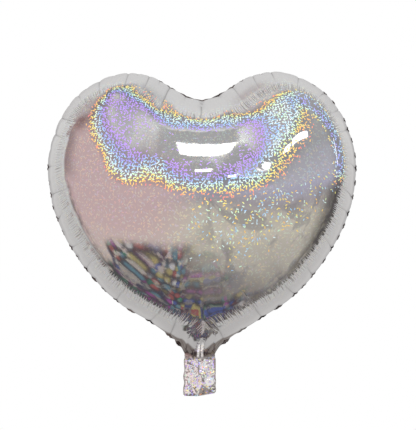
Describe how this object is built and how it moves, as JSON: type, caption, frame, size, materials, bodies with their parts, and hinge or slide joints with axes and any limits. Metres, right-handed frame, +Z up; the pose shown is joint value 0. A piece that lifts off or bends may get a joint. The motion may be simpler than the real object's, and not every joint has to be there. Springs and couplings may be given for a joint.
{
  "type": "heart foil balloon",
  "caption": "Inflated heart-shaped foil balloon with a welded rim, a self-sealing film valve in its neck and an open tail that folds at its crease.",
  "frame": {"origin": "middle of the tail's fold crease, at the bottom of the heart's neck, where a ribbon is tied", "axes": "+Z up from the tail to the heart's cleft, front panel faces -Y, +X to the viewer's right when looking at the front"},
  "size_m": [0.3608, 0.202, 0.3772],
  "materials": {
    "foil": "mirror-bright metallised film with a holographic sparkle",
    "weld": "fused clear sealant over metallised film",
    "valve_film": "clear glossy film",
    "release_print": "matt heat-resistant print"
  },
  "bodies": {
    "balloon": {"front_film": "foil", "back_film": "foil", "perimeter_seal": "weld", "neck_seal_front": "weld", "neck_seal_back": "weld", "valve_front_film": "valve_film", "valve_back_film": "valve_film", "valve_edge_seals": "valve_film", "valve_release_print": "release_print"},
    "tail": {"tail_front_film": "foil", "tail_back_film": "foil", "tail_edge_seals": "weld"}
  },
  "joints": [
    {"name": "tail_fold", "type": "hinge", "parent": "balloon", "child": "tail", "pos_m": [0, 0, 0], "axis": [1, 0, 0], "range_deg": [-100, 100]}
  ]
}
